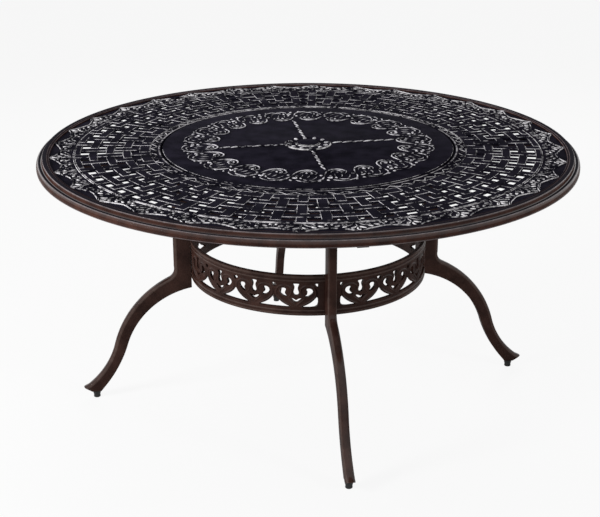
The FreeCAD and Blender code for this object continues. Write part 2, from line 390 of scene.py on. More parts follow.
@dataclass(frozen=True)
class PlainFinish:
    """A plastic or sheet metal finish with fine grain.

    Fields:
        name: the material's name.
        low: its colour in the darker spots.
        high: its colour in the lighter spots.
        metallic: 1 for bare metal and 0 for plastic.
        roughness: how dull it is.
        spot_size: the width of its spots.
        spots: the cloudiness between which it goes from its darker to its lighter colour.
        grain_size: the width of its grain.
        grain: the depth of that grain in metres, and its strength.
    """

    name: str
    low: Colour
    high: Colour
    metallic: float
    roughness: float
    spot_size: float = 12 * MM
    spots: Point = (0.35, 0.65)
    grain_size: float = 0.8 * MM
    grain: Point = (0.1 * MM, 0.3)

    def make(self) -> bpy.types.Material:
        """Build the material.

        Returns:
            The material.
        """
        paint = Paint(self.name)
        spots = paint.noise(self.spot_size, 4)
        grain = paint.noise(self.grain_size, 2)
        paint.set(
            Base_Color=paint.blend(spots.between(*self.spots), self.low, self.high),
            Metallic=self.metallic,
            Roughness=self.roughness + (spots - 0.5) * ROUGHNESS_SPREAD,
        )
        paint.bump(grain, *self.grain)
        return paint.material


BLACK_COAT = ((0.0055, 0.0050, 0.0085), (0.0160, 0.0142, 0.0230))


class Look(Enum):
    """The finishes that pieces are dressed in, among them a slot's plain one under the slot's own name."""

    # The third colour of each cast finish is the lighter colour for its marked faces, slopes or crests: a
    # painted highlight, partly standing for abrasion; on the top, bead, fan and scroll finishes it is a
    # near-white painted highlight.
    FRAME = CastFinish(
        "frame_coat", (0.018, 0.0082, 0.0064), (0.046, 0.0220, 0.0170), (0.075, 0.050, 0.042),
        patches=(0.2, 0.7), gloss=0.01, roughness=0.35, coat=0.6,
    )
    RIM = CastFinish(
        "rim_coat", (0.019, 0.0080, 0.0064), (0.057, 0.0225, 0.0155), (0.15, 0.125, 0.13),
        level=(0.009, 0.0075, 0.012), patches=(0.25, 0.6), gloss=0.002, roughness=0.35, coat=1.0,
        coat_from=729 * MM,
    )
    TOP = CastFinish("top_coat", *BLACK_COAT, (0.76, 0.74, 0.76), slopes=(0.10, 0.60))
    BEAD = CastFinish("bead_coat", *BLACK_COAT, (0.45, 0.43, 0.45), crest=(732.6 * MM, 732.95 * MM))
    FAN = CastFinish(
        "fan_relief_coat", *BLACK_COAT, (0.86, 0.84, 0.86), slopes=(0.02, 0.60),
        crest=(729.5 * MM, 730.3 * MM),
    )
    SCROLL = CastFinish(
        "scroll_relief_coat", *BLACK_COAT, (0.80, 0.78, 0.82), crest=(736 * MM, 737 * MM),
        patches=(0.40, 0.56),
    )
    STEEL = PlainFinish("zinc_sheet", (0.36, 0.36, 0.38), (0.55, 0.55, 0.56), 1.0, 0.35)
    CAGE = PlainFinish("nylon", (0.62, 0.60, 0.55), (0.75, 0.74, 0.69), 0.0, 0.5)
    GLIDE = PlainFinish("black_nylon", (0.006, 0.006, 0.006), (0.018, 0.018, 0.018), 0.0, 0.45)


class Finishes:
    """The table's materials, each made once."""

    def __init__(self) -> None:
        """Make every material."""
        self.materials = {look: look.value.make() for look in Look}

    def dress(self, piece: Piece, look: Look) -> None:
        """Give a piece one finish and nothing else."""
        piece.data.materials.clear()
        piece.data.materials.append(self.materials[look])


def deselect() -> None:
    """Leave every object deselected, in object mode."""
    if bpy.context.object and bpy.context.object.mode != "OBJECT":
        bpy.ops.object.mode_set(mode="OBJECT")
    bpy.ops.object.select_all(action="DESELECT")


def take(piece: Piece) -> None:
    """Select one piece alone and make it the active one.

    Args:
        piece: what is selected.
    """
    deselect()
    piece.select_set(True)
    bpy.context.view_layer.objects.active = piece


@contextmanager
def editing(piece: Piece) -> Iterator[None]:
    """Hold a piece in edit mode, with all of it selected at first.

    Args:
        piece: what is edited.

    Returns:
        The hold, which ends in object mode.
    """
    take(piece)
    bpy.ops.object.mode_set(mode="EDIT")
    bpy.ops.mesh.select_all(action="SELECT")
    yield
    bpy.ops.object.mode_set(mode="OBJECT")


def cube(centre: Place, size: Place, turn: float) -> Piece:
    """Add a box.

    Args:
        centre: its middle.
        size: its lengths along X, Y and Z before it is turned.
        turn: its angle about Z in radians.

    Returns:
        The box.
    """
    deselect()
    bpy.ops.mesh.primitive_cube_add(size=1, location=centre, rotation=(0, 0, turn), scale=size)
    return settle(bpy.context.object)


def settle(piece: Piece) -> Piece:
    """Put a piece's place, turn and scale into its mesh.

    Args:
        piece: what is settled.

    Returns:
        The piece.
    """
    take(piece)
    bpy.ops.object.transform_apply(location=True, rotation=True, scale=True)
    return piece


def outline(points: Sequence[Point], filled: bool = False) -> Piece:
    """Add a closed outline in the XZ plane, from a circle whose corners are moved into place.

    Args:
        points: the corners as (radius, height).
        filled: whether the outline gets a face.

    Returns:
        The outline as a mesh object.
    """
    deselect()
    fill = "NGON" if filled else "NOTHING"
    bpy.ops.mesh.primitive_circle_add(vertices=len(points), fill_type=fill)
    piece = bpy.context.object
    for vertex, (radius, height) in zip(piece.data.vertices, points):
        vertex.co = (radius, 0.0, height)
    return piece


def pick(piece: Piece, kind: Kind, test: Callable[[object], bool]) -> int:
    """Select edges or faces of the mesh in edit mode by a test.

    Args:
        piece: the object in edit mode.
        kind: what is selected.
        test: says whether an edge or a face is wanted.

    Returns:
        How many were selected.
    """
    bpy.ops.mesh.select_mode(type=kind.name)
    bpy.ops.mesh.select_all(action="DESELECT")
    mesh = bmesh.from_edit_mesh(piece.data)
    found = [part for part in getattr(mesh, kind.value) if test(part)]
    for part in found:
        part.select_set(True)
    mesh.select_flush_mode()
    bmesh.update_edit_mesh(piece.data)
    return len(found)


def spin(piece: Piece, turn: float, steps: int) -> Piece:
    """Sweep a piece about the table's axis.

    Args:
        piece: an outline or a face.
        turn: the angle in radians; a full turn closes the ring.
        steps: the number of steps.

    Returns:
        The piece, closed and with its faces outward.
    """
    with editing(piece):
        bpy.ops.mesh.spin(steps=steps, angle=-turn, center=(0, 0, 0), axis=(0, 0, 1))
        bpy.ops.mesh.select_all(action="SELECT")
        bpy.ops.mesh.remove_doubles(threshold=MERGE)
        bpy.ops.mesh.dissolve_degenerate(threshold=MERGE / 2)
        bpy.ops.mesh.select_all(action="SELECT")
        bpy.ops.mesh.normals_make_consistent(inside=False)
    return piece


def modify(piece: Piece, kind: str, **settings: object) -> None:
    """Add one modifier with its settings and apply it.

    Args:
        piece: what is modified.
        kind: the modifier's type.
        settings: its own properties.
    """
    take(piece)
    modifier = piece.modifiers.new(kind.lower(), kind)
    for name, value in settings.items():
        setattr(modifier, name, value)
    bpy.ops.object.modifier_apply(modifier=modifier.name)


def shade_smooth(piece: Piece, limit: float) -> None:
    """Shade a piece smooth up to a limit in degrees."""
    take(piece)
    bpy.ops.object.shade_smooth_by_angle(angle=math.radians(limit))


def copy_turned(piece: Piece, turn: float, name: str = "") -> Piece:
    """Copy a piece with its own mesh, turned about the table's axis.

    Args:
        piece: what is copied.
        turn: the angle in radians.
        name: the copy's name, or nothing.

    Returns:
        The copy.
    """
    take(piece)
    bpy.ops.object.duplicate(linked=False)
    twin = bpy.context.object
    twin.rotation_mode = "XYZ"
    twin.rotation_euler.z = turn
    settle(twin)
    if name:
        twin.name = name
    return twin


def copy_round(piece: Piece, count: int, pitch: float) -> list[Piece]:
    """Make copies of a piece round the table's axis, a pitch apart, and remove the piece.

    Args:
        piece: what is copied.
        count: how many copies there are.
        pitch: the angle in radians from one to the next.

    Returns:
        The copies.
    """
    copies = [copy_turned(piece, pitch * number) for number in range(count)]
    bpy.data.objects.remove(piece)
    return copies


def join(pieces: Sequence[Piece], name: str) -> Piece:
    """Join pieces into one.

    Args:
        pieces: what is joined.
        name: the joined piece's name.

    Returns:
        The joined piece.
    """
    take(pieces[0])
    for piece in pieces:
        piece.select_set(True)
    if len(pieces) > 1:
        bpy.ops.object.join()
    pieces[0].name = name
    return pieces[0]


def ridge(points: Sequence[Place], radius: float, tall: float, ends: float) -> Piece:
    """Add a rounded ridge along a smooth path.

    Args:
        points: the path's control points.
        radius: the ridge's half width.
        tall: the ridge's half height over its half width.
        ends: the width at the path's ends over the width at its middle.

    Returns:
        The ridge as a closed mesh.
    """
    deselect()
    bpy.ops.curve.primitive_nurbs_path_add()
    curve = bpy.context.object
    curve.data.splines.clear()
    spline = curve.data.splines.new("NURBS")
    spline.points.add(len(points) - 1)
    base = min(point[2] for point in points)
    for number, (control, place) in enumerate(zip(spline.points, points)):
        control.co = (place[0], place[1], base + (place[2] - base) / tall, 1.0)
        control.radius = ends if number in (0, len(points) - 1) else 1.0
    spline.order_u = 3
    spline.use_endpoint_u = True
    curve.data.resolution_u = 3
    curve.data.bevel_depth = radius
    curve.data.bevel_resolution = 1
    curve.data.use_fill_caps = True
    bpy.ops.object.convert(target="MESH")
    piece = bpy.context.object
    with editing(piece):
        bpy.ops.transform.resize(value=(1, 1, tall), center_override=(0, 0, base))
    return piece


def prism(points: Sequence[Point], depth: float, place: Place, turn: float) -> Piece:
    """Add a prism with a rounded outline, lying along a radius of the table.

    Args:
        points: the outline's control points as (across, up).
        depth: its length along the radius.
        place: its middle, from which across and up are counted.
        turn: the radius's angle about the table's axis.

    Returns:
        The prism as a closed mesh.
    """
    deselect()
    bpy.ops.curve.primitive_nurbs_circle_add()
    curve = bpy.context.object
    curve.data.dimensions = "2D"
    curve.data.splines.clear()
    spline = curve.data.splines.new("NURBS")
    spline.points.add(len(points) - 1)
    for control, point in zip(spline.points, points):
        control.co = (*point, 0.0, 1.0)
    spline.use_cyclic_u = True
    spline.order_u = 3
    spline.resolution_u = 3
    curve.data.fill_mode = "BOTH"
    curve.data.extrude = depth / 2
    bpy.ops.object.convert(target="MESH")
    piece = bpy.context.object
    piece.location = place
    piece.rotation_euler = (QUARTER_TURN, 0, QUARTER_TURN + turn)
    settle(piece)
    with editing(piece):
        bpy.ops.mesh.remove_doubles(threshold=MERGE)
        bpy.ops.mesh.normals_make_consistent(inside=False)
    return piece


def rub(piece: Piece, test: Callable[[bmesh.types.BMFace], bool]) -> None:
    """Mark the faces of a piece that pass a test for the lighter colour, a painted highlight that partly
    stands for abrasion.

    Args:
        piece: what is marked.
        test: says whether a face takes the painted highlight.
    """
    if "rub" not in piece.data.attributes:
        piece.data.attributes.new("rub", "FLOAT", "FACE")
    with editing(piece):
        if pick(piece, Kind.FACE, test):
            piece.data.attributes.active = piece.data.attributes["rub"]
            bpy.ops.mesh.attribute_set(value_float=1.0)


def lobe(centre: Place, size: Place, turn: float) -> Piece:
    """Add an egg-shaped boss.

    Args:
        centre: its middle.
        size: its lengths along X, Y and Z before it is turned.
        turn: its angle about Z in radians.

    Returns:
        The boss.
    """
    deselect()
    bpy.ops.mesh.primitive_uv_sphere_add(
        segments=10, ring_count=6, radius=0.5, location=centre, rotation=(0, 0, turn), scale=size
    )
    return settle(bpy.context.object)


def polar(radius: float, turn: float, height: float) -> Place:
    """The point at a radius, an angle in radians about the table's axis and a height."""
    return (radius * math.cos(turn), radius * math.sin(turn), height)


def placed(points: Sequence[Point], radius: float = 0.0, height: float = 0.0) -> list[Point]:
    """Points given in millimetres from a radius and a height, as (radius, height) in metres."""
    return [(radius + across * MM, height + up * MM) for across, up in points]


@dataclass
class Assembly:
    """What every sub-assembly shares.

    Fields:
        finishes: the table's materials.
    """

    finishes: Finishes

    def hand_over(
        self,
        piece: Piece,
        body: Body,
        slot: Slot,
        stands_for: Iterable[str] = (),
        look: Look | None = None,
        smooth: float = 35,
    ) -> None:
        """Dress a finished piece and fix it to its body.

        Args:
            piece: the finished piece.
            body: the body that it moves with.
            slot: the material slot of its finish.
            stands_for: the model's nodes that it is shown in place of.
            look: its finish where that isn't the slot's plain one.
            smooth: the angle in degrees up to which it is shaded smooth.
        """
        shade_smooth(piece, smooth)
        self.finishes.dress(piece, look or Look[slot.name])
        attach(piece, body.value)
        nodes = tuple(stands_for)
        if nodes:
            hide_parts(*nodes)
        LOG.info("%s: %d faces", piece.name, len(piece.data.polygons))


@dataclass
class Rim(Assembly):
    """The moulded hoop round the top and the ring round the turntable's well.

    Fields:
        hoop: the hoop's section, in millimetres out from its radius and up from its top.
        abrasion_highlit: the places in that section of the lines that take a painted highlight, partly
            standing for abrasion.
        abrasion_highlight_reach: how near to one of them a face takes that painted highlight.
        bead: the section of the well's bead, in millimetres out from the axis and up from its crest.
        flange: the outer radius of the flange under the segments.
        ledge: the inner radius of the ledge under the turntable.
    """

    radius: float = 750 * MM
    top: float = 735 * MM
    steps: int = 192
    hoop: tuple[Point, ...] = (
        (-50, -18), (-50, -12), (-36, -12), (-36, -3), (-35, -1.6), (-33.4, -1.2), (-32.2, -1.9),
        (-31.2, -2.1), (-30, -1.5), (-28.8, -0.5), (-26, -0.1), (-20, 0),
        (-17.6, -0.6), (-16.2, -2.4), (-15.6, -5), (-15.4, -9), (-14.6, -11.4), (-12.8, -12.4),
        (-10.4, -12.0), (-8.0, -11.6), (-5.4, -12.2), (-3.2, -13.8), (-1.6, -16.2), (-0.6, -19.2),
        (0, -22.4), (0, -25.6), (-1.0, -26.8), (-1.0, -27.6), (0, -28.6), (-0.4, -30.1), (-1.6, -30.5),
        (-8, -30.5), (-8, -18),
    )
    abrasion_highlit: tuple[Point, ...] = ((-35.5, -2.3), (-29.4, -1.0), (-16.9, -1.5), (-4.3, -13.0), (-0.2, -29.4))
    abrasion_highlight_reach: float = 0.5 * MM
    bead: tuple[Point, ...] = (
        (419.6, -3), (419, -1.2), (417, -0.2), (415, 0), (413, -0.2), (411.4, -1.4), (411, -3),
    )
    flange: float = 424 * MM
    flange_height: float = 6 * MM
    ledge: float = 372 * MM
    ledge_thickness: float = 2 * MM

    def make_hoop(self) -> Piece:
        """The moulded hoop, with its lines of painted highlight marked.

        Returns:
            The hoop.
        """
        hoop = spin(outline(placed(self.hoop, self.radius, self.top)), FULL_TURN, self.steps)
        lines = [Vector(point) for point in placed(self.abrasion_highlit, self.radius, self.top)]

        def on_line(face: bmesh.types.BMFace) -> bool:
            """Whether the face lies on one of the lines of painted highlight.

            Args:
                face: a face of the hoop.

            Returns:
                Whether it does.
            """
            middle = face.calc_center_median()
            section = Vector((middle.xy.length, middle.z))
            return any((section - line).length < self.abrasion_highlight_reach for line in lines)

        # Thin lines on the hoop's beads are marked for a painted highlight, partly standing for abrasion.
        rub(hoop, on_line)
        return hoop

    def make_well(self) -> Piece:
        """The bead round the well, with a flange under the segments and a ledge under the disc.

        Returns:
            The ring.
        """
        low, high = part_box("well_ring")
        flange_top, ledge_top = low.z + self.flange_height, low.z + self.ledge_thickness
        bead = placed(self.bead, 0, high.z)
        outside, inside = bead[0][0], bead[-1][0]
        profile = [(self.ledge, low.z), (self.flange, low.z), (self.flange, flange_top)]
        profile += [(outside, flange_top), *bead, (inside, ledge_top), (self.ledge, ledge_top)]
        return spin(outline(profile), FULL_TURN, self.steps)

    def build(self) -> None:
        """Make both rings."""
        hoop = self.make_hoop()
        hoop.name = "moulded_rim"
        self.hand_over(hoop, Body.TABLE, Slot.FRAME, ["table_rim"], Look.RIM)
        well = self.make_well()
        well.name = "well_bead"
        self.hand_over(well, Body.TABLE, Slot.TOP, ["well_ring"], Look.BEAD)


@dataclass
class WovenTop(Assembly):
    """The relief of the eight cast segments: the woven blocks, the zigzag border and the fans.

    Fields:
        plate: the height of the plate that the relief stands on.
        outer_line: the outer radius of the outermost strip.
        inner_line: the inner radius of the innermost strip.
        rows: the outer and inner radius of each row of openings.
        rise: how far a block stands above the plate.
        sink: how far it reaches into the plate.
        play: the gap that it leaves at each side.
        edge: the width of the bevel round its top.
        level: how nearly upright the normal of a level face is.
        bar_radii: the radii between which the bars of the zigzag run.
        bar_overlap: how much longer a bar is than its way.
        bar_lift: the height of its middle above the plate.
        lines: the radius and half width of each plain ring beside the weave.
        line_crown: a ring's width at its top over its width at its foot.
        fan_bed: how far the fans' ridges are set into the plate.
        leaf_height: the height of a fan's leaves.
        valley_radius: the radius in millimetres at which two fans meet.
    """

    plate: float = 729 * MM
    fans: int = 32
    segments: int = 8
    spoke_width: float = 27 * MM
    outer_line: float = 646 * MM
    inner_line: float = 440 * MM
    rows: tuple[Point, ...] = (
        (630 * MM, 607 * MM), (584 * MM, 561 * MM), (538 * MM, 515 * MM), (492 * MM, 469 * MM),
    )
    rise: float = 1.6 * MM
    sink: float = 1.5 * MM
    play: float = 0.5 * MM
    edge: float = 0.85 * MM
    bar_radii: Point = (421 * MM, 437 * MM)
    bar_width: float = 3.2 * MM
    bar_height: float = 3.4 * MM
    bar_overlap: float = 1.5 * MM
    bar_lift: float = 0.6 * MM
    lines: tuple[Point, ...] = ((649 * MM, 2.0 * MM), (439 * MM, 1.5 * MM))
    line_crown: float = 0.2
    level: float = 0.9
    fan_bed: float = 0.4 * MM
    leaf_height: float = 6.8 * MM
    valley_radius: float = 682

    @property
    def half_pitch(self) -> float:
        """The angle from a fan's tip to its valley."""
        return math.pi / self.fans

    def bevel_top(self, piece: Piece) -> Piece:
        """Bevel the edges round a block's top.

        Args:
            piece: the block.

        Returns:
            The block.
        """
        crown = max(vertex.co.z for vertex in piece.data.vertices) - MERGE

        def on_border(edge: bmesh.types.BMEdge) -> bool:
            """Whether the edge lies between the top and a wall."""
            level = [face for face in edge.link_faces if abs(face.normal.z) > self.level]
            return all(vertex.co.z > crown for vertex in edge.verts) and len(level) == 1

        with editing(piece):
            pick(piece, Kind.EDGE, on_border)
            bpy.ops.mesh.bevel(offset=self.edge, segments=1)
        return piece

    def radial_block(self, outer: float, inner: float, turn: float) -> Piece:
        """One raised block along a spoke.

        Args:
            outer: its outer radius.
            inner: its inner radius.
            turn: the spoke's angle.

        Returns:
            The block.
        """
        length = outer - inner - 2 * self.play
        centre = polar((outer + inner) / 2, turn, self.plate + (self.rise - self.sink) / 2)
        size = (length, self.spoke_width - 2 * self.play, self.rise + self.sink)
        return self.bevel_top(cube(centre, size, turn))

    def ring_block(self, outer: float, inner: float, turn: float) -> Piece:
        """One raised block along a strip, from one spoke to the next.

        Args:
            outer: its outer radius.
            inner: its inner radius.
            turn: its middle's angle.

        Returns:
            The block.
        """
        middle = (outer + inner) / 2
        reach = self.half_pitch - (self.spoke_width / 2 + self.play) / middle
        low, high = self.plate - self.sink, self.plate + self.rise
        start, end = inner + self.play, outer - self.play
        piece = outline([(start, low), (end, low), (end, high), (start, high)], filled=True)
        piece.rotation_euler.z = turn - reach
        settle(piece)
        return self.bevel_top(spin(piece, 2 * reach, 4))

    def weave_cell(self) -> list[Piece]:
        """The blocks of one fan's width, with the fan's tip on +X.

        Returns:
            The blocks.
        """
        strips = [(self.outer_line, self.rows[0][0])]
        strips += [(upper[1], lower[0]) for upper, lower in zip(self.rows, self.rows[1:])]
        strips.append((self.rows[-1][1], self.inner_line))
        blocks = []
        for number, (outer, inner) in enumerate(strips):
            over_tip = number % 2 == 0
            spoke_turn = 0.0 if over_tip else self.half_pitch
            strip_turn = self.half_pitch if over_tip else 0.0
            start = strips[number - 1][1] if number else outer
            end = strips[number + 1][0] if number + 1 < len(strips) else inner
            blocks.append(self.radial_block(start, end, spoke_turn))
            blocks.append(self.ring_block(outer, inner, strip_turn))
        return blocks

    def border_cell(self) -> list[Piece]:
        """The zigzag between the weave and the well, over one fan's width.

        Returns:
            Its bars.
        """
        inner, outer = self.bar_radii
        step = self.half_pitch / 2
        bars = []
        for number in range(4):
            turns = (step * (number - 2), step * (number - 1))
            radii = (inner, outer) if number % 2 else (outer, inner)
            middle = self.plate + self.bar_lift
            start, end = (Vector(polar(radius, turn, middle)) for radius, turn in zip(radii, turns))
            along = end - start
            size = (along.length + self.bar_overlap, self.bar_width, self.bar_height)
            bars.append(self.bevel_top(cube((start + end) / 2, size, math.atan2(along.y, along.x))))
        return bars

    def fan_cell(self) -> list[Piece]:
        """One fan under the rim, with its tip on +X.

        Returns:
            Its ridges and leaves.
        """
        base = self.plate - self.fan_bed
        valley = self.valley_radius * math.tan(self.half_pitch)

        def path(points: Sequence[Point], side: int) -> list[Place]:
            """The path through (radius, across) points in millimetres, on one side of the fan."""
            return [(radius * MM, side * across * MM, base) for radius, across in points]

        def leaf(radius: float, across: float, size: Point, turn: float) -> Piece:
            """One small leaf at a place in millimetres, turned by degrees from the radius."""
            place = (radius * MM, across * MM, self.plate)
            return lobe(place, (size[0] * MM, size[1] * MM, self.leaf_height), math.radians(turn))

        parts = [leaf(696, 0, (24, 11), 0)]
        for side in (-1, 1):
            flank = [(714, 0), (711, 4), (703, 13), (696, 25), (691, 39), (684, 54), (681, valley)]
            parts.append(ridge(path(flank, side), 3.2 * MM, 1.4, 0.8))
            curl = [(654, 6), (664, 11), (671, 19), (672, 28), (665, 34), (658, 30), (659, 23), (664, 22)]
            parts.append(ridge(path(curl, side), 1.9 * MM, 1.6, 0.7))
            stem = [(652, valley - 8), (664, valley - 3), (680, valley - 1)]
            parts.append(ridge(path(stem, side), 2.0 * MM, 1.5, 0.6))
            for radius, across, size, turn in (
                (686, 11, (22, 8), 48), (679, 31, (15, 8), 58), (671, 47, (16, 8), 66), (660, 58, (8, 7), 0),
            ):
                parts.append(leaf(radius, side * across, size, side * turn))
        parts.append(ridge(path([(654, 0), (664, 0), (674, 0), (682, 0)], 1), 2.8 * MM, 1.2, 0.4))
        return parts

    def build(self) -> None:
        """Make one segment's relief and copy it round."""
        cell = join(self.weave_cell() + self.border_cell(), "cell")
        fan = join(self.fan_cell(), "fan")
        pitch = 2 * self.half_pitch
        per_segment = self.fans // self.segments
        cells = copy_round(cell, per_segment, pitch)
        leaves = join(copy_round(fan, per_segment, pitch), "fan_relief")
        low, high = self.plate - self.sink, self.plate + self.rise
        for radius, half in self.lines:
            crown = half * self.line_crown
            section = [(radius - half, low), (radius + half, low)]
            section += [(radius + crown, high), (radius - crown, high)]
            line = outline(section, filled=True)
            line.rotation_euler.z = -self.half_pitch
            cells.append(spin(settle(line), pitch * per_segment, 4 * per_segment))
        segment = join(cells, "woven_relief")
        for number in range(self.segments):
            turn = FULL_TURN * number / self.segments
            piece = copy_turned(segment, turn, f"woven_relief_{number + 1}")
            self.hand_over(piece, Body.TABLE, Slot.TOP)
            piece = copy_turned(leaves, turn, f"fan_relief_{number + 1}")
            self.hand_over(piece, Body.TABLE, Slot.TOP, look=Look.FAN)
        for spare in (segment, leaves):
            bpy.data.objects.remove(spare)


@dataclass
class Turntable(Assembly):
    """The sunk disc with its relief, and the cap over the umbrella hole.

    Fields:
        rounding: the width of the bevel round the disc's foot.
        ring: the radius of the ring round the hole.
        ring_rise: its height above the disc.
        band_inner: the scroll band's inner radius.
        band_outer: its outer radius.
        rope_ends: how far a rope begins beyond the ring, and ends beyond the band's inner edge.
        rope_lift: the height of its middle above the disc.
        strand: the length, width and height of one of its strands.
        strand_turn: the slant of the strands in radians.
        scroll_bed: how far the scrolls' ridges are set into the disc.
        scroll_tall: a ridge's half height over its half width.
        scroll_ends: its width at its ends over its width at its middle.
        scroll_dip: the share of the band's half width within which a scroll dips.
        leaf: the width and height of a scroll's leaves.
        leaf_lift: the height of their middle above the disc.
        petal: the length, width and height of a leaf of the ring round the cap.
        petal_inset: how far its middle lies inside the ring's radius.
        petal_lift: the height of its middle above the disc.
    """

    radius: float = 405 * MM
    top: float = 735 * MM
    underside: float = 729.5 * MM
    hole: float = 26 * MM
    ring: float = 66 * MM
    band_inner: float = 252 * MM
    band_outer: float = 352 * MM
    rounding: float = 1 * MM
    rope_ends: Point = (2 * MM, 6 * MM)
    rope_lift: float = 0.4 * MM
    rope_pitch: float = 30 * MM
    strand: Place = (36 * MM, 6.4 * MM, 6.4 * MM)
    strand_turn: float = math.radians(14)
    scrolls: int = 22
    scroll_bed: float = 0.4 * MM
    scroll_tall: float = 1.6
    scroll_ends: float = 0.5
    scroll_dip: float = 0.3
    leaf: Point = (6.0 * MM, 6.6 * MM)
    leaf_lift: float = 0.3 * MM
    petals: int = 12
    petal: Place = (15 * MM, 10 * MM, 6 * MM)
    petal_inset: float = 13 * MM
    petal_lift: float = 2.6 * MM
    ring_rise: float = 4 * MM
    steps: int = 160
    cap_steps: int = 64

    def make_disc(self) -> Piece:
        """The plain disc with its rounded edge and the ring round its hole.

        Returns:
            The disc.
        """
        edge, under, crest = self.radius, self.underside, self.ring_rise / MM
        profile = [(self.hole, under), (edge - self.rounding, under), (edge, under + self.rounding)]
        profile += placed([(0, -1.6), (-0.6, -0.5), (-2, 0)], edge, self.top)
        profile += placed([(2, 0), (-1, 1.2), (-4, crest), (-8, crest), (-11, 2)], self.ring, self.top)
        profile += placed([(9, 2), (7, crest), (0, crest)], self.hole, self.top)
        return spin(outline(profile), FULL_TURN, self.steps)

    def make_rope(self) -> Piece:
        """One rope rib along +X, laid as slanted strands.

        Returns:
            The rib.
        """
        start, end = self.ring + self.rope_ends[0], self.band_inner + self.rope_ends[1]
        strands = []
        for number in range(round((end - start) / self.rope_pitch)):
            centre = (start + self.rope_pitch * (number + 0.5), 0, self.top + self.rope_lift)
            strands.append(lobe(centre, self.strand, self.strand_turn))
        return join(strands, "rope")

    def make_scroll(self) -> Piece:
        """One scroll of the leafy band: an S from the band's outer edge to its inner edge, with leaves.

        Returns:
            The scroll.
        """
        middle = (self.band_inner + self.band_outer) / 2
        half = (self.band_outer - self.band_inner) / 2
        pitch = FULL_TURN / self.scrolls
        base = self.top - self.scroll_bed

        def path(points: Sequence[Point], sunk: float) -> list[Place]:
            """The path through points of the band.

            Args:
                points: each as (across, outward), in shares of the pitch and of the half width.
                sunk: how far the path dips at the band's middle.

            Returns:
                The path.
            """
            places = []
            for across, out in points:
                drop = sunk if abs(out) < self.scroll_dip else 0
                places.append(polar(middle + out * half, across * pitch, base - drop))
            return places

        parts = []
        for points, width, sunk in (
            (
                [(-0.12, 1.03), (0.10, 0.95), (0.27, 0.72), (0.34, 0.4), (0.38, 0.15), (0.42, -0.15),
                 (0.48, -0.45), (0.60, -0.84), (0.88, -1.03), (1.14, -0.84), (1.20, -0.5)], 2.3, 1.8,
            ),
            ([(-0.42, 0.66), (-0.40, 0.92), (-0.12, 1.03)], 2.5, 0.0),
            ([(0.62, -0.40), (0.70, -0.68), (0.88, -0.80), (1.04, -0.66), (1.06, -0.44)], 1.9, 0.0),
            ([(-0.24, 0.52), (-0.20, 0.74), (-0.04, 0.80), (0.10, 0.66)], 2.0, 0.0),
            ([(0.02, 0.58), (0.14, 0.36), (0.17, 0.08)], 2.2, 0.0),
            ([(-0.14, 0.34), (-0.04, 0.12), (-0.06, -0.12)], 2.3, 0.0),
            ([(-0.32, 0.22), (-0.24, 0.0), (-0.27, -0.22)], 2.2, 0.0),
            ([(0.08, -0.18), (0.20, -0.34), (0.22, -0.62)], 2.2, 0.0),
        ):
            line = path(points, sunk * MM)
            parts.append(ridge(line, width * MM, self.scroll_tall, self.scroll_ends))
        for across, out, length, turn in (
            (-0.30, 0.44, 10, 30), (0.52, 0.42, 15, 65), (0.57, 0.10, 12, -30), (0.86, -0.52, 10, 20),
            (0.30, -0.02, 9, 75), (0.02, -0.38, 11, -50), (-0.14, -0.46, 9, 40), (0.20, 0.92, 9, 80),
            (0.44, 0.80, 10, 50), (-0.42, 0.36, 8, 0),
        ):
            angle = across * pitch
            place = polar(middle + out * half, angle, self.top + self.leaf_lift)
            parts.append(lobe(place, (length * MM, *self.leaf), angle + math.radians(turn)))
        return join(parts, "scroll")

    def make_petals(self) -> list[Piece]:
        """The ring of small leaves round the cap.

        Returns:
            The leaves.
        """
        petals = []
        for number in range(self.petals):
            turn = FULL_TURN * number / self.petals
            centre = polar(self.ring - self.petal_inset, turn, self.top + self.petal_lift)
            petals.append(lobe(centre, self.petal, turn))
        return petals

    def make_cap(self) -> Piece:
        """The domed cap with its plug.

        Returns:
            The cap.
        """
        low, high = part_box("umbrella_hole_cap")
        seat = self.top + self.ring_rise
        profile = placed([(0, 0), (22, 0), (23, 1)], 0, low.z)
        dome = [(23, 0), (30.2, 0), (31, 0.8), (30.6, 1.6), (27, 3.4), (20, 5), (11, 5.8)]
        profile += placed(dome, 0, seat) + [(0, high.z)]
        return spin(outline(profile), FULL_TURN, self.cap_steps)

    def build(self) -> None:
        """Make the disc, its relief and the cap."""
        disc = self.make_disc()
        disc.name = "turntable"
        self.hand_over(disc, Body.TURNTABLE, Slot.TOP, ["turntable_disc"])
        ropes = copy_round(self.make_rope(), 4, QUARTER_TURN)
        relief = join(ropes + self.make_petals(), "rope_ribs")
        self.hand_over(relief, Body.TURNTABLE, Slot.TOP, look=Look.SCROLL)
        scrolls = copy_round(self.make_scroll(), self.scrolls, FULL_TURN / self.scrolls)
        self.hand_over(join(scrolls, "scroll_band"), Body.TURNTABLE, Slot.TOP, look=Look.SCROLL)
        cap = self.make_cap()
        cap.name = "hole_cap_dome"
        self.hand_over(cap, Body.CAP, Slot.TOP, ["umbrella_hole_cap"])


